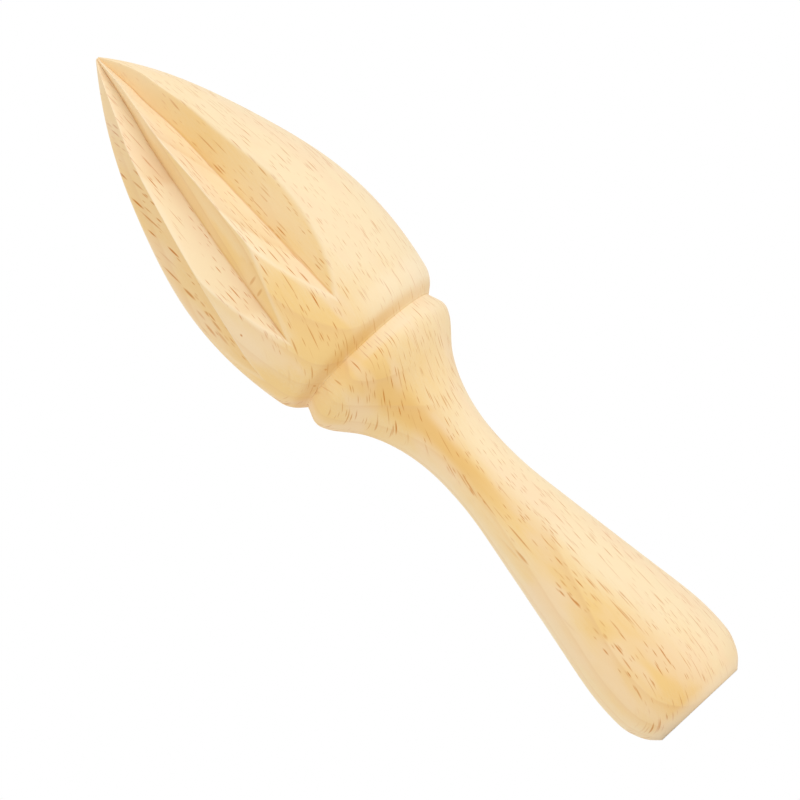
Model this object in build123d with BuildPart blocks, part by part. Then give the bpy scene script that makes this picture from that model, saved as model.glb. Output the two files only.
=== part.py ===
from build123d import *
from math import radians, tan
import os

# Wooden citrus reamer, in millimetres. It stands upright on its flat butt: the origin is the
# centre of the butt face, and +Z runs up the turning axis to the tip. The middle flute of one
# group faces -Y and the middle flute of the other group faces +Y.

# Lengths along the axis
handle_length = 89.8        # butt face to the shoulder at the bottom of the V groove
head_length = 75.2          # shoulder to the tip

# Head and V groove, from the widest part inwards
head_radius = 20.3          # widest part of the turned head
base_inset = 2.15           # from there in to the corner where the base turns up into the flank
base_rise = 2.4             # height of that corner above the shoulder
base_rounding = 6.0
groove_depth = 2.85         # from that corner in to the bottom of the V groove
tip_radius = 0.45

# Collar, neck and grip of the handle
collar_rise = 1.2           # ridge of the collar out from the bottom of the V groove
collar_drop = 3.3           # ridge of the collar below the shoulder
collar_rounding = 2.8
neck_radius = 6.75
neck_drop = 28.8            # narrowest part of the neck below the shoulder
grip_radius = 13.45
grip_height = 10.5          # widest part of the grip above the butt face
butt_radius = 9.5           # flat end that the reamer stands on
butt_rounding = 1.2

# Glued joint, hidden below the V groove
tenon_radius = 5.0
tenon_length = 16.0
tenon_chamfer = 0.8
glue_gap = 0.05             # round the tenon
end_gap = 0.6               # past the tenon's end, for spare glue

# Flutes: two groups on opposite sides, with a plain land between the groups
group_count = 2
flutes_each_side = 1        # flutes on each side of a group's middle flute
cutter_margin = 4.0         # how far the cutter stands out of the head

# Directions of the handle's outline: radius outwards, height upwards
along_axis = (0, 1)
butt_slope = (1, 1)
ridge_slope = (1, 3)

# Outline shares: height as a share of the stretch, radius as a share of its change
butt_curve_shares = ((0.16, 0.43), (0.41, 0.795))
grip_taper_shares = ((0.22, 0.18), (0.45, 0.47), (0.73, 0.81))
collar_flare_shares = ((0.31, 0.075), (0.60, 0.32), (0.74, 0.535), (0.87, 0.82))

# Outline shares of the head: height as a share of head_length, radius of head_radius
flank_shares = ((0.13, 0.964), (0.26, 1.0), (0.42, 0.945), (0.60, 0.766), (0.76, 0.550), (0.88, 0.335))

# Flute stations, from just past the tip to below the run-out. Each row holds the distance below
# the tip as a share of head_length, the floor's radius as a share of head_radius, the angles
# between the radius and the inner and outer walls, and the angle from flute to flute.
flute_station_shares = (
    (-0.04, -0.036, 40.0, 31.0, 49.0),
    (0.00, 0.016, 40.0, 31.0, 49.0),
    (0.16, 0.198, 44.0, 34.0, 46.0),
    (0.27, 0.362, 50.0, 42.0, 44.2),
    (0.43, 0.540, 55.5, 51.0, 40.2),
    (0.63, 0.748, 61.0, 62.0, 37.5),
    (0.80, 0.889, 57.0, 61.0, 36.4),
    (0.93, 0.988, 54.0, 59.0, 35.8),
)

tip_height = handle_length + head_length
base_radius = head_radius - base_inset
groove_radius = base_radius - groove_depth
groove_edge = (groove_radius, handle_length)


def between(low, high, share_points):
    """Points between two outline points, from shares of the height and of the radius change."""
    return [
        (
            low[0] + (high[0] - low[0]) * radius_share,
            low[1] + (high[1] - low[1]) * height_share,
        )
        for height_share, radius_share in share_points
    ]


def flute_cutter(place):
    """Cutter of one V flute, lofted through its stations; place counts from the group's middle."""
    outer_radius = head_radius + cutter_margin
    with BuildPart() as cutter:
        for station, floor, inner_wall, outer_wall, pitch in flute_station_shares:
            right_wall = outer_wall if place > 0 else inner_wall
            left_wall = outer_wall if place < 0 else inner_wall
            floor_radius = head_radius * floor
            depth = outer_radius - floor_radius
            facing = Vector(0, -1).rotate(Axis.Z, place * pitch)
            station_height = tip_height - head_length * station
            with BuildSketch(Plane(origin=(0, 0, station_height), x_dir=facing, z_dir=(0, 0, 1))):
                with BuildLine():
                    Polyline(
                        (floor_radius, 0),
                        (outer_radius, depth * tan(radians(right_wall))),
                        (outer_radius, -depth * tan(radians(left_wall))),
                        close=True,
                    )
                make_face()
        loft()
    return cutter.part


with BuildPart() as handle:
    butt_edge = (butt_radius, 0)
    grip = (grip_radius, grip_height)
    neck = (neck_radius, handle_length - neck_drop)
    collar = (groove_radius + collar_rise, handle_length - collar_drop)
    butt_curve = between(butt_edge, grip, butt_curve_shares)
    grip_taper = between(grip, neck, grip_taper_shares)
    collar_flare = between(neck, collar, collar_flare_shares)
    with BuildSketch(Plane.XZ):
        with BuildLine():
            Line((0, 0), butt_edge)
            Spline(butt_edge, *butt_curve, grip, tangents=(butt_slope, along_axis))
            Spline(grip, *grip_taper, neck, tangents=(along_axis, along_axis))
            Spline(neck, *collar_flare, collar, tangents=(along_axis, ridge_slope))
            Line(collar, groove_edge)
            Line(groove_edge, (0, handle_length))
            Line((0, handle_length), (0, 0))
        make_face()
    revolve(axis=Axis.Z)
    turned_edges = handle.edges().filter_by(GeomType.CIRCLE).sort_by(Axis.Z)
    fillet(turned_edges[0], radius=butt_rounding)
    turned_edges = handle.edges().filter_by(GeomType.CIRCLE).sort_by(Axis.Z)
    fillet(turned_edges[-2], radius=collar_rounding)
    with Locations((0, 0, handle_length)):
        Hole(tenon_radius + glue_gap, depth=tenon_length + end_gap)
handle.part.label = "handle"

flute_cutters = [flute_cutter(place) for place in range(-flutes_each_side, flutes_each_side + 1)]

with BuildPart() as reamer_head:
    base_corner = (base_radius, handle_length + base_rise)
    flank = [
        (head_radius * radius_share, handle_length + head_length * height_share)
        for height_share, radius_share in flank_shares
    ]
    with BuildSketch(Plane.XZ):
        with BuildLine():
            Line((0, handle_length), groove_edge)
            Line(groove_edge, base_corner)
            Spline(base_corner, *flank, (tip_radius, tip_height))
            Line((tip_radius, tip_height), (0, tip_height))
            Line((0, tip_height), (0, handle_length))
        make_face()
    revolve(axis=Axis.Z)
    turned_edges = reamer_head.edges().filter_by(GeomType.CIRCLE).sort_by(Axis.Z)
    fillet(turned_edges[1], radius=base_rounding)
    for cutter in flute_cutters:
        with PolarLocations(0, group_count):
            add(cutter, mode=Mode.SUBTRACT)
    with BuildSketch(Plane.XY.offset(handle_length)):
        Circle(tenon_radius)
    extrude(amount=-tenon_length)
    chamfer(reamer_head.edges().sort_by(Axis.Z)[0], length=tenon_chamfer)
reamer_head.part.label = "reamer_head"

os.makedirs("parts", exist_ok=True)
export_step(handle.part, "parts/handle.step")
export_step(reamer_head.part, "parts/reamer_head.step")
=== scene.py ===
import math

import bmesh
import bpy
import numpy as np
from mathutils import Matrix, Vector


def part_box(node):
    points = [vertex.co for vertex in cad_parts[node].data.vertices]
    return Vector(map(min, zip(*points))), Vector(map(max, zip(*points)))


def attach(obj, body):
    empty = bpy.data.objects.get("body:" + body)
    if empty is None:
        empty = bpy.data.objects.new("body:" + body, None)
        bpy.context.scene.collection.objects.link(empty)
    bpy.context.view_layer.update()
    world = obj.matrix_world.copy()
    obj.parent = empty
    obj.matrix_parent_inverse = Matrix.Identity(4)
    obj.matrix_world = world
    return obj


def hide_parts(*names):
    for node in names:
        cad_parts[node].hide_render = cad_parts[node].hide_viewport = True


# Wooden citrus reamer in beech: a fluted head above a V groove, and a turned handle below it.
# Lengths in the dictionaries are in millimetres and angles in degrees.
mm = 0.001

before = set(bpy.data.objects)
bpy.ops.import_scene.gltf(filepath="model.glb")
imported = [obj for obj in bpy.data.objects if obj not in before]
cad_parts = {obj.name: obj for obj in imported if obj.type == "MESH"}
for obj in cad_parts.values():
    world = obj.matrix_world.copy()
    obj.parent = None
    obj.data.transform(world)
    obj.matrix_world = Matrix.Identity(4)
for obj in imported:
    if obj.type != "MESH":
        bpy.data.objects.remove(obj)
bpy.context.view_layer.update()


# A node socket that can stand in a formula, so that a tree reads like the shape it makes

def feed(tree, value, socket):
    if isinstance(value, Field):
        tree.links.new(value.socket, socket)
    else:
        socket.default_value = value


def calc(tree, operation, *values):
    node = tree.nodes.new("ShaderNodeMath")
    node.operation = operation
    for slot, value in enumerate(values):
        feed(tree, value, node.inputs[slot])
    return Field(tree, node.outputs[0])


class Field:
    def __init__(self, tree, socket):
        self.tree = tree
        self.socket = socket

    def math(self, operation, *others):
        return calc(self.tree, operation, self, *others)

    def __add__(self, other):
        return self.math("ADD", other)

    def __radd__(self, other):
        return self.math("ADD", other)

    def __sub__(self, other):
        return self.math("SUBTRACT", other)

    def __rsub__(self, other):
        return calc(self.tree, "SUBTRACT", other, self)

    def __mul__(self, other):
        return self.math("MULTIPLY", other)

    def __truediv__(self, other):
        return self.math("DIVIDE", other)


def splitVector(tree, vector):
    node = tree.nodes.new("ShaderNodeSeparateXYZ")
    tree.links.new(vector, node.inputs[0])
    return [Field(tree, out) for out in node.outputs]


def joinVector(tree, *parts):
    node = tree.nodes.new("ShaderNodeCombineXYZ")
    for slot, value in enumerate(parts):
        feed(tree, value, node.inputs[slot])
    return node.outputs[0]


def ramp(value, start, end):
    # 0 at start and 1 at end, eased at both
    tree = value.tree
    node = tree.nodes.new("ShaderNodeMapRange")
    node.interpolation_type = "SMOOTHSTEP"
    feed(tree, value, node.inputs["Value"])
    feed(tree, start, node.inputs["From Min"])
    feed(tree, end, node.inputs["From Max"])
    return Field(tree, node.outputs["Result"])


def band(value, begin, full, fade, end):
    # 1 from full to fade, eased to 0 at begin and at end
    return ramp(value, begin, full) * (1 - ramp(value, fade, end))


def near(value, middle, inner, outer):
    # 1 up to the inner distance from the middle, eased to 0 at the outer one
    return 1 - ramp((value - middle).math("ABSOLUTE"), inner, outer)


def within(value, least, most):
    return value.math("MAXIMUM", least).math("MINIMUM", most)


def between(share, least, most):
    return share * (most - least) + least


# Turned outlines, read from the CAD nodes

sameHeight = 0.02      # rings of the CAD mesh that are closer than this count as one
sharpAngle = 50.0      # edges that turn by more than this look sharp


def outlineOf(nodeName, keep):
    # (radius, height) of a turned surface, from the butt upwards; keep picks its points
    spots = np.array([v.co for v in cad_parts[nodeName].data.vertices]) / mm
    spots = spots[keep(spots)]
    radii = {}
    for x, y, z in spots:
        height = round(float(z), 3)  # to a micrometre
        radii[height] = max(radii.get(height, 0.0), math.hypot(x, y))
    line = np.array([(radii[height], height) for height in sorted(radii)])
    far = np.concatenate([[True], np.diff(line[:, 1]) > sameHeight])
    return line[far]


def smoothThrough(line, step):
    # A smooth curve through the points of the line, with a point at each step along it
    gaps = np.hypot(*np.diff(line, axis=0).T)
    along = np.concatenate([[0.0], np.cumsum(gaps)])
    slope = np.gradient(line, along, axis=0)
    wanted = np.linspace(0.0, along[-1], round(along[-1] / step) + 1)
    span = np.clip(np.searchsorted(along, wanted, side="right") - 1, 0, len(gaps) - 1)
    share = ((wanted - along[span]) / gaps[span])[:, None]
    pull = gaps[span][:, None]
    start, end = line[span], line[span + 1]
    return (
        (2 * share**3 - 3 * share**2 + 1) * start
        + (share**3 - 2 * share**2 + share) * pull * slope[span]
        + (3 * share**2 - 2 * share**3) * end
        + (share**3 - share**2) * pull * slope[span + 1]
    )


def turn(name, outline, columns):
    # A closed lathe mesh; the outline starts and ends on the axis, going round the solid
    made = bmesh.new()
    rings = []
    for radius, height in outline:
        if radius < 1e-6:
            rings.append([made.verts.new((0, 0, height * mm))])
            continue
        turns = [2 * math.pi * (column + 0.5) / columns for column in range(columns)]
        rings.append([
            made.verts.new((radius * mm * math.sin(a), -radius * mm * math.cos(a), height * mm))
            for a in turns
        ])
    for low, high in zip(rings, rings[1:]):
        for column in range(columns):
            following = (column + 1) % columns
            if len(low) == 1:
                made.faces.new((low[0], high[following], high[column]))
            elif len(high) == 1:
                made.faces.new((low[column], low[following], high[0]))
            else:
                made.faces.new((low[column], low[following], high[following], high[column]))
    bmesh.ops.recalc_face_normals(made, faces=made.faces)
    mesh = bpy.data.meshes.new(name)
    made.to_mesh(mesh)
    made.free()
    piece = bpy.data.objects.new(name, mesh)
    bpy.context.scene.collection.objects.link(piece)
    return piece


def finishPiece(piece, nodeName, material):
    mesh = piece.data
    mesh.materials.clear()
    mesh.materials.append(material)
    mesh.shade_smooth()
    mesh.set_sharp_from_angle(angle=math.radians(sharpAngle))
    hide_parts(nodeName)
    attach(piece, "root")
    print(piece.name, "has", sum(len(face.vertices) - 2 for face in mesh.polygons), "triangles")


# Beech

beechLook = {
    "rayAzimuth": -31.4,      # the way the rays run, round from +X
    "paintedLightAzimuth": 28.6,      # painted light: the lit side, round from +X; flute walls that face it are painted paler
    "grainSlope": 0.125,      # how far sideways the grain runs for each length up the axis
    "pale": (0.93, 0.748, 0.476),
    "golden": (0.905, 0.618, 0.248),
    "rosy": (0.93, 0.704, 0.455),
    "rayBrown": (0.60, 0.205, 0.012),
    "ringBrown": (0.80, 0.50, 0.22),
    "streakGold": (0.84, 0.52, 0.17),
    "paintedShadeGold": (0.68, 0.31, 0.045),
    "wearAndLightPale": (0.98, 0.84, 0.63),
    "wander": (2.4, 1.6),     # how far the grain strays, along the rays and across them
    "ringGap": 4.6,           # from one growth ring to the next
    "ringStart": 4.6,         # place of one ring's edge, out from the turning axis
    "pithAway": 75.0,         # the tree's middle is this far behind the axis
    "lateWood": (0.30, 0.95, 0.94, 1.0),   # where in a ring it begins, is full, fades and ends
    "ringLine": (0.78, 0.93, 0.93, 0.99),
    "rosyHues": (0.46, 0.66),
    "flatRays": (0.87, 0.98),  # flecks fade out as the surface turns flat to the rays
}

# How matt and how rough the wood is, and how much its fibres, specks and flecks change that
beechSurface = {
    "roughness": 0.52,
    "roughFibres": 0.12,
    "roughFlecks": 0.08,
    "specular": 0.32,
    "bumpStrength": 0.35,
    "bumpDepth": 0.05,
    "bumpFibres": 0.6,
    "bumpSpecks": 0.35,
    "bumpFlecks": 0.8,
}

# Lengths of each pattern along the rays, across them and up the grain
grainPatterns = {
    "wander": {"size": (22.0, 22.0, 48.0), "detail": 2.0, "roughness": 0.5},
    "hues": {"size": (12.0, 5.0, 20.0), "detail": 2.0, "roughness": 0.5},
    "clouds": {"size": (9.0, 6.0, 26.0), "detail": 3.0, "roughness": 0.5},
    "fibres": {"size": (0.5, 0.22, 5.0), "detail": 2.0, "roughness": 0.6},
    "specks": {"size": (0.12, 0.10, 0.7), "detail": 1.0, "roughness": 0.5},
}

# Heights at which a colour begins, is full, fades and ends. The first eight are above the butt, the
# others up or down from the shoulder between head and handle.
colourHeights = {
    "buttEdge": (0.3, 2.8),
    "nearButt": (4.0, 10.0, 22.0, 30.0),
    "streak": (44.0, 62.0, 74.0, 92.0),
    "flare": (66.0, 78.0, 84.0, 88.0),
    "leftEdge": (58.0, 94.0),
    "nearGroove": (62.0, 80.0, 94.0, 104.0),
    "paleBand": (106.0, 122.0),
    "tip": (138.0, 158.0),
    "onCollar": (0.0, 0.3, 2.0, 3.2),
    "underBase": (0.8, 2.4, 5.0, 8.5),
    "aboveGroove": (0.0, 0.5, 1.0, 2.8),
}

# Where a colour begins and is full: across the rays for the first three, and for the others from -1
# at the left edge to 1 at the right. Three numbers are a middle, and how far from it the colour
# starts to fade and ends.
colourSides = {
    "goldAndShadeSide": (-0.66, -0.10),
    "goldAndShadeSideEnd": (-0.96, -0.72),
    "streak": (-0.68, 0.05, 0.28),
    "leftEdge": (-0.96, -0.72),
    "rightEdge": (0.30, 0.95),
    "rightOfButt": (-0.2, 0.3),
    "paleBand": (-0.19, 0.05, 0.20),
    "flare": (0.10, 0.50),
    "onCollar": (0.28, 0.2, 0.55),
    "underBase": (-0.1, 0.5),
}

# How much gold each place gains or loses: the gold is partly the wood's tone and partly painted
# shade, and the loss on the lit side and at the edges is painted light
goldAmounts = {
    "goldAndShadeSide": 0.86,
    "goldAndShadeSideEnd": 0.40,
    "everywhere": 0.03,
    "leftEdge": 0.42,
    "leftEdgeHigher": 0.90,
    "nearGroove": 0.32,
    "rightOfGroove": 0.7,
    "rightEdge": 0.20,
    "rightOfTip": 0.95,
    "nearButt": 0.22,
    "rightOfButt": 0.14,
    "flare": 0.30,
    "paleBand": 0.75,
    "facing": 0.80,
    "clouds": 0.7,
    "fibres": 0.45,
    "specks": 0.20,
}

# How strongly each tint covers the wood below it. Two numbers are for pale and for golden wood.
tintShares = {
    "rosy": 0.60,
    "rosyOnWalls": 0.9,
    "streak": (0.62, 1.12),
    "rings": (0.10, 1.30),
    "flecks": (0.66, 1.20),
    "lateWood": 0.22,
    "ringLine": 0.17,
    "ridges": 0.26,
    "buttEdge": 0.8,
    "tip": 0.45,
    "fluteFloors": 0.50,
    "onCollar": 0.34,
    "underBase": 0.30,
    "aboveGroove": 0.32,
    "rightOfGroove": 0.6,
}

# Ray flecks are thin ribbons. Each layer has its spacing along the ray, across it and up the grain,
# the share of its places that hold a fleck, and how far and how dark the flecks reach.
rayLayers = (
    {"deep": 11.0, "thick": 0.34, "tall": 12.5, "kept": 0.45,
     "reach": 0.34, "dark": 0.85, "seed": 3.0},
    {"deep": 7.5, "thick": 0.38, "tall": 6.4, "kept": 0.52,
     "reach": 0.36, "dark": 1.15, "seed": 41.0},
    {"deep": 6.0, "thick": 0.30, "tall": 3.2, "kept": 0.58,
     "reach": 0.36, "dark": 0.85, "seed": 83.0},
)

fleckShape = {
    "reach": (0.55, 1.10),    # shares of its layer's reach, from the smallest fleck to the largest
    "strength": (0.4, 1.0),   # shares of its layer's darkness, from the faintest to the darkest
    "core": 0.35,             # share of its reach in which a fleck is full
}

# Two small brown lines across the middle flute, a dark speck on the ridge beside it and two specks
# by the groove
woodMarks = (
    {"place": (2.1, -17.85, 111.9), "turn": -27.4, "size": (2.3, 1.5, 0.42), "dark": 0.42},
    {"place": (1.7, -18.25, 109.4), "turn": -31.7, "size": (2.1, 1.5, 0.42), "dark": 0.42},
    {"place": (-6.79, -19.06, 106.4), "turn": 0.0, "size": (0.34, 0.34, 0.42), "dark": 0.75},
    {"place": (-4.78, -15.55, 90.6), "turn": 0.0, "size": (0.42, 0.42, 0.34), "dark": 0.65},
    {"place": (-0.03, -16.76, 91.0), "turn": 0.0, "size": (0.34, 0.42, 0.34), "dark": 0.60},
)
markCore = 0.3                # share of its size in which a mark is full


def noiseAt(tree, vector, detail, roughness):
    node = tree.nodes.new("ShaderNodeTexNoise")
    node.inputs["Scale"].default_value = 1.0
    node.inputs["Detail"].default_value = detail
    node.inputs["Roughness"].default_value = roughness
    tree.links.new(vector, node.inputs["Vector"])
    return node


def grainPattern(tree, name, deep, across, up):
    pattern = grainPatterns[name]
    alongRay, acrossRay, upGrain = pattern["size"]
    place = joinVector(tree, deep / alongRay, across / acrossRay, up / upGrain)
    return noiseAt(tree, place, pattern["detail"], pattern["roughness"])


def attributeOf(tree, name):
    node = tree.nodes.new("ShaderNodeAttribute")
    node.attribute_name = name
    return Field(tree, node.outputs["Fac"])


def facingOf(tree, azimuth):
    # How far the surface faces an azimuth round from +X: 1 when squarely
    turned = math.radians(azimuth)
    normal = tree.nodes.new("ShaderNodeNewGeometry").outputs["Normal"]
    node = tree.nodes.new("ShaderNodeVectorMath")
    node.operation = "DOT_PRODUCT"
    tree.links.new(normal, node.inputs[0])
    node.inputs[1].default_value = (math.cos(turned), math.sin(turned), 0)
    return Field(tree, node.outputs["Value"])


def rayFlecks(tree, deep, across, up, layer):
    spots = tree.nodes.new("ShaderNodeTexVoronoi")
    spots.inputs["Scale"].default_value = 1.0
    place = joinVector(
        tree,
        deep / layer["deep"] + layer["seed"],
        across / layer["thick"] + layer["seed"],
        up / layer["tall"],
    )
    tree.links.new(place, spots.inputs["Vector"])
    chance, size, depth = splitVector(tree, spots.outputs["Color"])
    reach = between(size, *fleckShape["reach"]) * layer["reach"]
    body = 1 - ramp(Field(tree, spots.outputs["Distance"]), reach * fleckShape["core"], reach)
    kept = chance.math("LESS_THAN", layer["kept"])
    dark = between(depth, *fleckShape["strength"]) * layer["dark"]
    return (body * kept * dark).math("MINIMUM", 1.0)


def woodMark(tree, coordinates, mark):
    # 1 inside a small soft ellipsoid
    centred = tree.nodes.new("ShaderNodeMapping")
    centred.vector_type = "TEXTURE"
    centred.inputs["Location"].default_value = [length * mm for length in mark["place"]]
    centred.inputs["Rotation"].default_value = (0, 0, math.radians(mark["turn"]))
    centred.inputs["Scale"].default_value = [length * mm for length in mark["size"]]
    tree.links.new(coordinates.outputs["Object"], centred.inputs["Vector"])
    away = tree.nodes.new("ShaderNodeVectorMath")
    away.operation = "LENGTH"
    tree.links.new(centred.outputs["Vector"], away.inputs[0])
    return (1 - ramp(Field(tree, away.outputs["Value"]), markCore, 1.0)) * mark["dark"]


def mixColour(tree, share, first, second):
    node = tree.nodes.new("ShaderNodeMix")
    node.data_type = "RGBA"
    feed(tree, share, node.inputs[0])
    for value, socket in ((first, node.inputs[6]), (second, node.inputs[7])):
        if isinstance(value, tuple):
            socket.default_value = (*value, 1.0)
        else:
            tree.links.new(value, socket)
    return node.outputs[2]


def makeBeech(shoulder):
    material = bpy.data.materials.new("beech")
    material.use_nodes = True
    tree = material.node_tree
    shader = tree.nodes["Principled BSDF"]
    coordinates = tree.nodes.new("ShaderNodeTexCoord")
    grain = tree.nodes.new("ShaderNodeMapping")
    grain.inputs["Scale"].default_value = (1 / mm, 1 / mm, 1 / mm)
    grain.inputs["Rotation"].default_value = (0, 0, -math.radians(beechLook["rayAzimuth"]))
    tree.links.new(coordinates.outputs["Object"], grain.inputs["Vector"])
    deep, across, up = splitVector(tree, grain.outputs["Vector"])
    fromAxis = (deep * deep + across * across).math("SQRT")
    side = across / fromAxis.math("MAXIMUM", 0.1)  # no division by zero on the axis
    heights, sides, amounts, tints = colourHeights, colourSides, goldAmounts, tintShares

    # The grain wanders a little, so nothing in it is dead straight
    wander = grainPattern(tree, "wander", deep, across, up)
    bendDeep, bendAcross, _ = splitVector(tree, wander.outputs["Color"])
    strayDeep, strayAcross = beechLook["wander"]
    deepWood = deep + (bendDeep - 0.5) * strayDeep
    acrossWood = across - up * beechLook["grainSlope"] + (bendAcross - 0.5) * strayAcross

    # Growth rings: each darkens slowly, then stops at a thin line
    pithToHere = (deepWood + beechLook["pithAway"]).math("POWER", 2) + acrossWood * acrossWood
    ringPlace = pithToHere.math("SQRT") - beechLook["pithAway"] - beechLook["ringStart"]
    ringPlace = (ringPlace / beechLook["ringGap"]).math("FRACT")
    lateWood = band(ringPlace, *beechLook["lateWood"])
    ringLine = band(ringPlace, *beechLook["ringLine"])

    # Soft clouds, fine fibres and rosy patches
    cloud = Field(tree, grainPattern(tree, "clouds", deep, across, up).outputs["Fac"])
    fibre = Field(tree, grainPattern(tree, "fibres", deep, acrossWood, up).outputs["Fac"])
    speck = Field(tree, grainPattern(tree, "specks", deep, acrossWood, up).outputs["Fac"])
    hue = Field(tree, grainPattern(tree, "hues", deep, across, up).outputs["Fac"])

    # Places on the reamer: radial runs from -1 at its left edge to 1 at its right, with the side
    # painted as lit to the right, and wallTurn says how far a flute wall turns away from the turned
    # form
    x, y, _ = splitVector(tree, coordinates.outputs["Object"])
    towards = math.radians(beechLook["paintedLightAzimuth"])
    outwards = (x * x + y * y).math("SQRT").math("MAXIMUM", 0.0005)
    radial = (x * math.cos(towards) + y * math.sin(towards)) / outwards
    wallTurn = facingOf(tree, beechLook["paintedLightAzimuth"]) - radial
    # Painted light and shade at the edges: the right edge, on the lit side, is painted paler,
    # except near the tip; the left edge is painted paler low down as rim light and more golden
    # higher up as shade
    leftEdge = 1 - ramp(radial, *sides["leftEdge"])
    rightEdge = ramp(radial, *sides["rightEdge"])
    atTip = ramp(up, *heights["tip"])
    nearGroove = band(up, *heights["nearGroove"]) * (1 - rightEdge * amounts["rightOfGroove"])
    nearButt = band(up, *heights["nearButt"])
    rightOfButt = ramp(radial, *sides["rightOfButt"]) * amounts["rightOfButt"]
    paleBand = ramp(up, *heights["paleBand"]) * near(radial, *sides["paleBand"])
    flare = band(up, *heights["flare"]) * ramp(radial, *sides["flare"])
    # Partly wood tone and partly painted shade: a golden band down the side where the shade falls,
    # with painted rim light making the far edge beyond it paler
    goldAndShadeSide = (1 - ramp(side, *sides["goldAndShadeSide"])) * amounts["goldAndShadeSide"]
    goldAndShadeSide = goldAndShadeSide - (1 - ramp(side, *sides["goldAndShadeSideEnd"])) * amounts["goldAndShadeSideEnd"]

    # Pale wood, golden wood, and a little rose between them. The gold and the paleness are partly
    # the wood's tone and partly painted shade and painted light.
    gold = goldAndShadeSide + amounts["everywhere"]
    higher = ramp(up, *heights["leftEdge"]) * amounts["leftEdgeHigher"]
    gold = gold - leftEdge * (amounts["leftEdge"] - higher)
    gold = gold + nearGroove * amounts["nearGroove"]
    gold = gold - rightEdge * (amounts["rightEdge"] - atTip * amounts["rightOfTip"])
    gold = gold + nearButt * (amounts["nearButt"] - rightOfButt)
    gold = gold + flare * amounts["flare"] - paleBand * amounts["paleBand"]
    # Painted light and shade: flute walls turned towards the lit side are painted paler, walls
    # turned away more golden
    gold = gold - wallTurn * amounts["facing"]
    gold = gold + (cloud - 0.5) * amounts["clouds"]
    gold = gold + (fibre - 0.5) * amounts["fibres"] + (speck - 0.5) * amounts["specks"]
    colour = mixColour(tree, within(gold, 0.0, 1.0), beechLook["pale"], beechLook["golden"])
    # Painted shade: flute walls turned away from the lit side also lose their rose
    rosy = ramp(hue, *beechLook["rosyHues"]) * within(1 + wallTurn * tints["rosyOnWalls"], 0.0, 1.0)
    colour = mixColour(tree, rosy * tints["rosy"], colour, beechLook["rosy"])
    streak = near(side, *sides["streak"]) * band(up, *heights["streak"])
    streak = streak * between(cloud, *tints["streak"])
    colour = mixColour(tree, streak, colour, beechLook["streakGold"])
    ringShade = lateWood * tints["lateWood"] + ringLine * tints["ringLine"]
    # Painted light: the rings fade towards the lit side and show most where the gold is painted
    # shade
    ringShade = ringShade * between(goldAndShadeSide, *tints["rings"])
    colour = mixColour(tree, ringShade, colour, beechLook["ringBrown"])

    # Rays, fainter where the wood is pale, partly as painted light on the lit side, and where they
    # lie flat to the surface
    flecks = None
    for layer in rayLayers:
        one = rayFlecks(tree, deep, acrossWood, up, layer)
        flecks = one if flecks is None else flecks.math("MAXIMUM", one)
    alongRays = facingOf(tree, beechLook["rayAzimuth"] + 90).math("ABSOLUTE")
    flat = ramp(alongRays, *beechLook["flatRays"])
    strength = flecks * between(goldAndShadeSide, *tints["flecks"]).math("MINIMUM", 1.0) * (1 - flat)
    colour = mixColour(tree, strength, colour, beechLook["rayBrown"])

    for mark in woodMarks:
        colour = mixColour(tree, woodMark(tree, coordinates, mark), colour, beechLook["rayBrown"])

    # Ridges painted pale as sanded wear and as painted highlight, the butt's edge and the tip
    # painted paler as wear and painted light, flute floors darkened with painted shade, and painted
    # shade and painted light round the tight V groove
    ridges = attributeOf(tree, "wornAndHighlit") * tints["ridges"]
    # Sanded wear and painted light: the butt's edge is painted paler against the shade where it
    # stands on the floor, and the tip paler too
    buttEdge = (1 - ramp(up, *heights["buttEdge"])) * tints["buttEdge"]
    wornAndHighlit = ridges.math("MAXIMUM", buttEdge).math("MAXIMUM", atTip * tints["tip"])
    # Painted shade along the flute floors
    hollow = attributeOf(tree, "hollow")
    # Painted highlight: a pale patch on the collar just below the groove, right of the middle
    onCollar = band(shoulder - up, *heights["onCollar"]) * near(radial, *sides["onCollar"])
    # Painted light: the underside of the head's base is painted paler towards the lit right side
    underBase = band(up - shoulder, *heights["underBase"]) * ramp(radial, *sides["underBase"])
    # Painted shade: a golden-brown band on the underside of the head's base just above the V
    # groove, less on the lit right edge
    aboveGroove = band(up - shoulder, *heights["aboveGroove"])
    aboveGroove = aboveGroove * (1 - rightEdge * tints["rightOfGroove"])
    for share, tint in (
        (wornAndHighlit, "wearAndLightPale"),
        (hollow * tints["fluteFloors"], "paintedShadeGold"),
        (onCollar * tints["onCollar"], "wearAndLightPale"),
        (underBase * tints["underBase"], "wearAndLightPale"),
        (aboveGroove * tints["aboveGroove"], "paintedShadeGold"),
    ):
        colour = mixColour(tree, share, colour, beechLook[tint])

    tree.links.new(colour, shader.inputs["Base Color"])
    surface = beechSurface
    rough = surface["roughness"] + (fibre - 0.5) * surface["roughFibres"]
    feed(tree, rough + flecks * surface["roughFlecks"], shader.inputs["Roughness"])
    shader.inputs["Specular IOR Level"].default_value = surface["specular"]
    bump = tree.nodes.new("ShaderNodeBump")
    bump.inputs["Strength"].default_value = surface["bumpStrength"]
    bump.inputs["Distance"].default_value = surface["bumpDepth"] * mm
    relief = fibre * surface["bumpFibres"] + speck * surface["bumpSpecks"]
    feed(tree, relief - flecks * surface["bumpFlecks"], bump.inputs["Height"])
    tree.links.new(bump.outputs["Normal"], shader.inputs["Normal"])
    return material


# Handle: the turned grip, neck and collar, and the blind bore that takes the tenon

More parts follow.
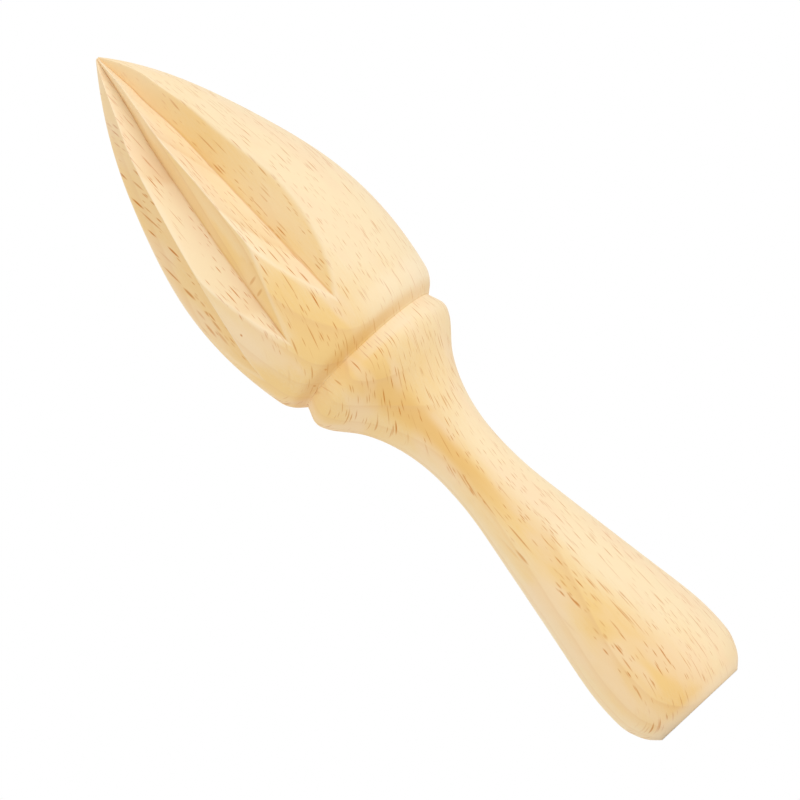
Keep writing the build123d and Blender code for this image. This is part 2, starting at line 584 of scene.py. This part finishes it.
handleSizes = {
    "columns": 224,
    "step": 0.35,          # between the rings along the outline
    "boreRadius": 5.05,
    "boreDepth": 16.6,
    "buttRadius": 9.5,
    "buttSoftness": 0.16,  # how far the rounding of the butt's edge reaches from the corner
    "flankSlant": 0.7,     # the flank leaves that corner at 45 degrees
    "flankStart": 0.36,    # from this height up the flank is the solid's
    "axisSide": 6.0,       # points of the solid nearer to the axis than this are the bore's
}


def makeHandle(material):
    def outside(spots):
        return np.hypot(spots[:, 0], spots[:, 1]) > handleSizes["axisSide"]

    outer = outlineOf("handle", outside)
    top = outer[-1, 1]
    bore = handleSizes["boreRadius"]
    floor = top - handleSizes["boreDepth"]
    butt = handleSizes["buttRadius"]
    soft = handleSizes["buttSoftness"]
    outline = [(0, 0), (butt * 0.5, 0), (butt * 0.9, 0)]  # two rings on the flat end
    for share in np.linspace(0.0, 1.0, 6):  # six rings round the edge
        inwards, upwards = soft * (1 - share) ** 2, soft * handleSizes["flankSlant"] * share**2
        outline.append((butt - inwards + upwards, upwards))
    flank = outer[outer[:, 1] > handleSizes["flankStart"]]
    outline += [tuple(spot) for spot in smoothThrough(flank, handleSizes["step"])]
    outline += [(bore * 1.5, top), (bore, top), (bore, floor), (0, floor)]  # shoulder and bore
    piece = turn("turned_handle", outline, handleSizes["columns"])
    finishPiece(piece, "handle", material)


# Head: a turned blank with its tenon, in which Geometry Nodes cut two groups of three V flutes

headSizes = {
    "step": 0.29,
    "tenonRadius": 5.0,
    "tenonLength": 16.0,
    "tenonChamfer": 0.8,
    "headLength": 75.2,
    "headRadius": 20.3,
    "edgeSoftness": 0.80,      # rounding where a flute meets the turned flank
    "ridgeSoftness": 0.60,     # rounding of the ridge between two flutes
    "floorSoftness": 0.10,     # rounding of a flute's floor
    "tipLean": 0.32,           # the point stands this far off the turning axis
    "leanAzimuth": 28.6,       # towards this side, round from +X
    "leanReach": 0.3,          # share of the head's length that leans
    "leanCurve": 1.4,
    "handWobble": 0.10,        # unevenness left by the cutter and the sandpaper
    "wobblesPerMetre": (90.0, 90.0, 45.0),
    "cutTo": 0.999,            # share of the head's length that the flutes may reach
    "leastSlant": 0.03,        # sine of the smallest angle counted between a wall and the radius
    "hollowDepth": 0.5,        # a floor this deep below the turned form gets its painted shade in full
    "hollowWidth": 0.45,
    "hollowShare": 0.06,       # that width is never more than this share of the radius
    "wornAndHighlitInner": 0.1,          # ridges are painted pale, as wear and painted highlight, up to here from where two cuts meet
    "wornAndHighlitOuter": 0.6,          # and fade until here
    "landAngle": 22.0,         # the turned outline is read this near to the middle of a land
    "axisSide": 0.3,           # and farther than this from the axis
    "columnEase": 0.65,        # how strongly the columns gather at both sides of each strip
    "stripLeast": 0.02,        # no strip of a wall is narrower, in radians
    "ridgeStrip": 0.9,         # width of the strip on a ridge, as a share of its softness
    "ridgeMost": 0.09,         # no strip on a ridge is wider, in radians
}

# Columns of the mesh in a half turn: land, wall, wall, ridge and so on across one group of flutes
columnsAcross = (24, 14, 14, 8, 14, 14, 8, 14, 14, 24)

# How each flute was cut. The keys are shares of the head's length below the tip. Angles of floors
# are from the middle of the group, and angles of walls are between the wall and the radius.
floorShares = {
    0.0: 0.016, 0.16: 0.198, 0.27: 0.362, 0.43: 0.540, 0.63: 0.748, 0.80: 0.889, 0.93: 0.988,
}
flutes = (
    {
        "floorAt": {
            0.0: -49.0, 0.16: -46.5, 0.27: -44.5, 0.43: -41.0, 0.63: -38.8, 0.80: -38.4, 1.0: -38.2,
        },
        "leftWall": {
            0.0: 52.0, 0.08: 49.0, 0.16: 47.0, 0.27: 50.0, 0.43: 54.0, 0.63: 60.0, 0.80: 60.0,
            1.0: 58.0,
        },
        "rightWall": {
            0.0: 56.0, 0.16: 61.0, 0.28: 64.0, 0.46: 63.2, 0.63: 63.0, 0.77: 60.0, 0.83: 54.0,
            1.0: 50.0,
        },
    },
    {
        "floorAt": {0.0: -1.0, 1.0: -1.2},
        "leftWall": {
            0.0: 22.0, 0.17: 25.0, 0.28: 33.5, 0.39: 39.1, 0.54: 48.7, 0.63: 52.0, 0.72: 47.0,
            1.0: 40.0,
        },
        "rightWall": {
            0.0: 42.0, 0.17: 45.8, 0.28: 50.1, 0.39: 55.4, 0.54: 62.0, 0.63: 66.5, 0.72: 62.0,
            0.79: 57.0, 1.0: 50.0,
        },
    },
    {
        "floorAt": {
            0.0: 50.5, 0.11: 50.0, 0.16: 45.3, 0.27: 43.5, 0.38: 40.4, 0.48: 38.3, 0.69: 36.2,
            1.0: 34.8,
        },
        "leftWall": {
            0.0: 38.0, 0.17: 39.9, 0.28: 50.0, 0.46: 49.5, 0.63: 56.5, 0.72: 56.5, 0.80: 53.0,
            1.0: 56.0,
        },
        "rightWall": {
            0.0: 31.0, 0.17: 34.4, 0.28: 42.8, 0.39: 47.8, 0.54: 58.6, 0.63: 62.0, 0.83: 63.0,
            1.0: 62.0,
        },
    },
)


def curveOver(share, table, span):
    # The value of a table at share, on a smooth curve; span is more than any value in it
    tree = share.tree
    node = tree.nodes.new("ShaderNodeFloatCurve")
    line = node.mapping.curves[0]
    spots = [(key, 0.5 + 0.5 * value / span) for key, value in sorted(table.items())]
    if spots[-1][0] < 1.0:
        spots.append((1.0, spots[-1][1]))
    line.points[0].location = spots[0]
    line.points[1].location = spots[-1]
    for spot in spots[1:-1]:
        line.points.new(*spot)
    node.mapping.update()
    feed(tree, share, node.inputs["Value"])
    return (Field(tree, node.outputs[0]) * 2 - 1) * span


def wallRadius(floorRadius, wall, turned):
    # Distance from the axis to a flat wall, at an angle turned from the floor towards it. Where the
    # radius runs along the wall or misses it, the wall counts as far out.
    slant = (wall - turned).math("SINE").math("MAXIMUM", headSizes["leastSlant"])
    return floorRadius * wall.math("SINE") / slant


def edgeTurn(floorRadius, wall, outer):
    # Angle from the floor to the place where the wall comes out through the turned outline
    share = (floorRadius * wall.math("SINE") / outer.math("MAXIMUM", 1e-5)).math("MINIMUM", 1.0)
    return wall - share.math("ARCSINE")


def ridgeTurn(wall, nextWall, pitch):
    # Angle from one floor to the ridge where its wall meets the next flute's
    beyond = nextWall - pitch
    rise = wall.math("SINE") * (nextWall.math("SINE") - beyond.math("SINE"))
    run = wall.math("SINE") * beyond.math("COSINE") + nextWall.math("SINE") * wall.math("COSINE")
    return rise.math("ARCTAN2", run)


def fluteTree():
    tree = bpy.data.node_groups.new("cutFlutes", "GeometryNodeTree")
    sockets = tree.interface
    sockets.new_socket("Geometry", in_out="INPUT", socket_type="NodeSocketGeometry")
    for label in ("Tip Height", "Head Length", "Head Radius", "Edge Softness", "Ridge Softness",
                  "Floor Softness", "Hand Wobble", "Tip Lean", "Lean Azimuth"):
        sockets.new_socket(label, in_out="INPUT", socket_type="NodeSocketFloat")
    sockets.new_socket("Material", in_out="INPUT", socket_type="NodeSocketMaterial")
    sockets.new_socket("Geometry", in_out="OUTPUT", socket_type="NodeSocketGeometry")
    start = tree.nodes.new("NodeGroupInput")
    end = tree.nodes.new("NodeGroupOutput")
    size = {out.name: Field(tree, out) for out in start.outputs if out.type == "VALUE"}

    # Where each point of the blank is: round the axis from -Y, out from the axis, and up it
    place = tree.nodes.new("GeometryNodeInputPosition").outputs[0]
    x, y, z = splitVector(tree, place)
    outer = (x * x + y * y).math("SQRT")
    around = x.math("ARCTAN2", y * -1) / math.pi + 0.5
    half = around.math("FLOOR")
    column = around - half
    below = (size["Tip Height"] - z) / size["Head Length"]
    down = within(below, 0.0, 1.0)

    floorRadius = curveOver(down, floorShares, 2.0) * size["Head Radius"]
    degree = math.radians(1)
    floors, leftWalls, rightWalls = (
        [curveOver(down, flute[angle], 90.0) * degree for flute in flutes]
        for angle in ("floorAt", "leftWall", "rightWall")
    )

    # Columns gather along the floors, the ridges and the edges, so that each runs on a line of the
    # mesh
    least = headSizes["stripLeast"]
    narrow = size["Ridge Softness"] * headSizes["ridgeStrip"] / outer.math("MAXIMUM", 1e-5)
    narrow = narrow.math("MINIMUM", headSizes["ridgeMost"])
    knots = [-math.pi / 2]
    for number, floor in enumerate(floors):
        leftTurn = edgeTurn(floorRadius, leftWalls[number], outer).math("MAXIMUM", least)
        if number:
            pitch = floor - floors[number - 1]
            ridge = ridgeTurn(rightWalls[number - 1], leftWalls[number], pitch)
            leftTurn = leftTurn.math("MINIMUM", pitch - ridge - narrow * 0.5)
        knots += [floor - leftTurn, floor]
        rightTurn = edgeTurn(floorRadius, rightWalls[number], outer).math("MAXIMUM", least)
        if number + 1 < len(floors):
            pitch = floors[number + 1] - floor
            ridge = ridgeTurn(rightWalls[number], leftWalls[number + 1], pitch)
            rightTurn = rightTurn.math("MINIMUM", ridge - narrow * 0.5)
        knots.append(floor + rightTurn)
    knots.append(math.pi / 2)
    passed = 0
    ease = headSizes["columnEase"]
    turned = calc(tree, "ADD", knots[0], 0.0)
    for number, count in enumerate(columnsAcross):
        begin = passed / sum(columnsAcross)
        passed += count
        finish = passed / sum(columnsAcross)
        even = within((column - begin) / (finish - begin), 0.0, 1.0)
        eased = even * (1 - ease) + ramp(column, begin, finish) * ease
        turned = turned + eased * (knots[number + 1] - knots[number])

    # The flutes: each is two flat walls that meet in its floor. Where two surfaces meet the wood is
    # marked for pale wear and painted highlight, and along a floor it is hollow and marked for
    # painted shade.
    waves = [length * count for length, count in zip((x, y, z), headSizes["wobblesPerMetre"])]
    wobble = noiseAt(tree, joinVector(tree, *waves), 1.0, 0.5)
    unevenness = (Field(tree, wobble.outputs["Fac"]) - 0.5) * size["Hand Wobble"]
    cut = outer
    wornAndHighlit = calc(tree, "ADD", 0.0, 0.0)
    hollow = calc(tree, "ADD", 0.0, 0.0)
    for number, floor in enumerate(floors):
        left = wallRadius(floorRadius, leftWalls[number], floor - turned)
        right = wallRadius(floorRadius, rightWalls[number], turned - floor)
        groove = left.math("SMOOTH_MAX", right, size["Floor Softness"]) + unevenness
        depth = ramp(outer - groove, 0.0, headSizes["hollowDepth"] * mm)
        width = (outer * headSizes["hollowShare"]).math("MINIMUM", headSizes["hollowWidth"] * mm)
        hollow = hollow.math("MAXIMUM", depth * near(left, right, 0.0, width))
        ridge = near(cut, groove, headSizes["wornAndHighlitInner"] * mm, headSizes["wornAndHighlitOuter"] * mm)
        wornAndHighlit = wornAndHighlit.math("MAXIMUM", ridge)
        softness = size["Edge Softness"] if number == 0 else size["Ridge Softness"]
        cut = cut.math("SMOOTH_MIN", groove, softness)
    onHead = below.math("LESS_THAN", headSizes["cutTo"])
    radius = cut * onHead + outer * (1 - onHead)
    radius = radius.math("MINIMUM", outer).math("MAXIMUM", 0.0)
    angle = turned + half * math.pi
    leaning = (1 - down / headSizes["leanReach"]).math("MAXIMUM", 0.0)
    lean = size["Tip Lean"] * leaning.math("POWER", headSizes["leanCurve"])
    moved = joinVector(
        tree,
        radius * angle.math("SINE") + lean * size["Lean Azimuth"].math("COSINE"),
        radius * angle.math("COSINE") * -1 + lean * size["Lean Azimuth"].math("SINE"),
        z,
    )

    setPlace = tree.nodes.new("GeometryNodeSetPosition")
    realize = tree.nodes.new("GeometryNodeRealizeInstances")
    paint = tree.nodes.new("GeometryNodeSetMaterial")
    shaped = start.outputs["Geometry"]
    for label, value in (("wornAndHighlit", wornAndHighlit * onHead), ("hollow", hollow * onHead)):
        store = tree.nodes.new("GeometryNodeStoreNamedAttribute")
        store.inputs["Name"].default_value = label
        tree.links.new(shaped, store.inputs["Geometry"])
        feed(tree, value, store.inputs["Value"])
        shaped = store.outputs["Geometry"]
    tree.links.new(shaped, setPlace.inputs["Geometry"])
    tree.links.new(moved, setPlace.inputs["Position"])
    tree.links.new(setPlace.outputs["Geometry"], realize.inputs[0])
    tree.links.new(realize.outputs[0], paint.inputs["Geometry"])
    tree.links.new(start.outputs["Material"], paint.inputs["Material"])
    tree.links.new(paint.outputs["Geometry"], end.inputs["Geometry"])
    return tree


def makeHead(material, shoulder):
    def onLand(spots):
        x, y, z = spots.T
        nearX = np.abs(y) < np.abs(x) * math.tan(math.radians(headSizes["landAngle"]))
        return nearX & (z > shoulder - sameHeight) & (np.hypot(x, y) > headSizes["axisSide"])

    outer = outlineOf("reamer_head", onLand)
    tip = outer[-1, 1]
    tenon = headSizes["tenonRadius"]
    end = shoulder - headSizes["tenonLength"]
    chamfer = headSizes["tenonChamfer"]
    outline = [(0, end), (tenon - chamfer, end), (tenon, end + chamfer)]
    outline += [(tenon, shoulder), (tenon * 1.5, shoulder)]
    outline += [tuple(spot) for spot in smoothThrough(outer, headSizes["step"])]
    outline += [(0, tip)]
    blank = turn("head_blank", outline, 2 * sum(columnsAcross))

    tree = fluteTree()
    cutter = blank.modifiers.new("flutes", "NODES")
    cutter.node_group = tree
    values = {
        "Tip Height": tip * mm,
        "Head Length": headSizes["headLength"] * mm,
        "Head Radius": headSizes["headRadius"] * mm,
        "Edge Softness": headSizes["edgeSoftness"] * mm,
        "Ridge Softness": headSizes["ridgeSoftness"] * mm,
        "Floor Softness": headSizes["floorSoftness"] * mm,
        "Hand Wobble": headSizes["handWobble"] * mm,
        "Tip Lean": headSizes["tipLean"] * mm,
        "Lean Azimuth": math.radians(headSizes["leanAzimuth"]),
        "Material": material,
    }
    for item in tree.interface.items_tree:
        if item.in_out == "INPUT" and item.name in values:
            cutter[item.identifier] = values[item.name]
    bpy.context.view_layer.update()
    shaped = blank.evaluated_get(bpy.context.evaluated_depsgraph_get())
    mesh = bpy.data.meshes.new_from_object(shaped)
    bpy.data.objects.remove(blank)
    piece = bpy.data.objects.new("fluted_head", mesh)
    bpy.context.scene.collection.objects.link(piece)
    finishPiece(piece, "reamer_head", material)


# Camera, as the photograph was taken: level with the butt, and rolled so that the tip points up and
# to the left

cameraView = {
    "distance": 820.9,
    "azimuth": 28.6,       # round from -Y towards +X
    "lookUp": 5.5,
    "lookLeft": 0.1355,
    "roll": 46.92,
    "lens": 199.8,
    "sensor": 36.0,
}


def makeCamera():
    camera = bpy.data.objects.new("camera", bpy.data.cameras.new("camera"))
    bpy.context.scene.collection.objects.link(camera)
    up, left = math.radians(cameraView["lookUp"]), math.radians(cameraView["lookLeft"])
    ahead = Vector((-math.sin(left), math.cos(up) * math.cos(left), math.sin(up) * math.cos(left)))
    ahead.rotate(Matrix.Rotation(math.radians(cameraView["azimuth"]), 3, "Z"))
    right = ahead.cross(Vector((0, 0, 1))).normalized()
    above = right.cross(ahead).normalized()
    roll = math.radians(cameraView["roll"])
    frameRight = math.sin(roll) * right - math.cos(roll) * above
    frameUp = math.cos(roll) * right + math.sin(roll) * above
    place = Vector((0, -cameraView["distance"] * mm, 0))
    place.rotate(Matrix.Rotation(math.radians(cameraView["azimuth"]), 3, "Z"))
    pose = Matrix((frameRight, frameUp, -ahead)).transposed().to_4x4()
    pose.translation = place
    camera.matrix_world = pose
    camera.data.lens = cameraView["lens"]
    camera.data.sensor_width = cameraView["sensor"]
    bpy.context.scene.camera = camera


# Studio: a white room, a pale floor, a wide soft lamp to the right of the camera and a weak one
# to its left

studio = {
    "floorSize": 6000.0,
    "floorColour": (0.955, 0.95, 0.94),
    "floorRoughness": 0.9,
    "ambient": 0.80,           # light from the room, where 1 would be as bright as it looks
    "lampsAway": 1500.0,
    "lamps": (
        {"name": "keyLamp", "azimuth": 68.6, "elevation": 7.0, "spread": 46.0, "strength": 1.12},
        {"name": "leftLamp", "azimuth": -56.4, "elevation": 7.0, "spread": 30.0, "strength": 0.30},
    ),
}


def makeStudio():
    half = studio["floorSize"] * mm / 2
    mesh = bpy.data.meshes.new("floor")
    corners = [(-half, -half, 0), (half, -half, 0), (half, half, 0), (-half, half, 0)]
    mesh.from_pydata(corners, [], [(0, 1, 2, 3)])
    floor = bpy.data.objects.new("floor", mesh)
    bpy.context.scene.collection.objects.link(floor)
    paint = bpy.data.materials.new("floorPaint")
    paint.use_nodes = True
    shader = paint.node_tree.nodes["Principled BSDF"]
    shader.inputs["Base Color"].default_value = (*studio["floorColour"], 1.0)
    shader.inputs["Roughness"].default_value = studio["floorRoughness"]
    mesh.materials.append(paint)

    world = bpy.data.worlds.new("whiteRoom")
    bpy.context.scene.world = world
    world.use_nodes = True
    tree = world.node_tree
    rays = tree.nodes.new("ShaderNodeLightPath")
    seen = Field(tree, rays.outputs["Is Camera Ray"])
    for kind in ("Is Glossy Ray", "Is Transmission Ray"):
        seen = seen.math("MAXIMUM", Field(tree, rays.outputs[kind]))
    strength = seen + (1 - seen) * studio["ambient"]
    feed(tree, strength, tree.nodes["Background"].inputs["Strength"])
    tree.nodes["Background"].inputs["Color"].default_value = (1, 1, 1, 1)

    for lamp in studio["lamps"]:
        light = bpy.data.lights.new(lamp["name"], "SUN")
        light.angle = math.radians(lamp["spread"])
        light.energy = lamp["strength"]
        made = bpy.data.objects.new(lamp["name"], light)
        bpy.context.scene.collection.objects.link(made)
        turned, risen = math.radians(lamp["azimuth"]), math.radians(lamp["elevation"])
        flat = math.cos(risen)
        towards = Vector((math.sin(turned) * flat, -math.cos(turned) * flat, math.sin(risen)))
        made.location = towards * studio["lampsAway"] * mm
        made.rotation_euler = towards.to_track_quat("Z", "Y").to_euler()


makeCamera()
makeStudio()
print("camera and studio ready")
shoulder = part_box("handle")[1].z / mm  # height at which the head stands on the handle
beech = makeBeech(shoulder)
print("beech ready")
makeHandle(beech)
makeHead(beech, shoulder)
bpy.context.scene.view_settings.view_transform = "Standard"

bpy.context.view_layer.update()
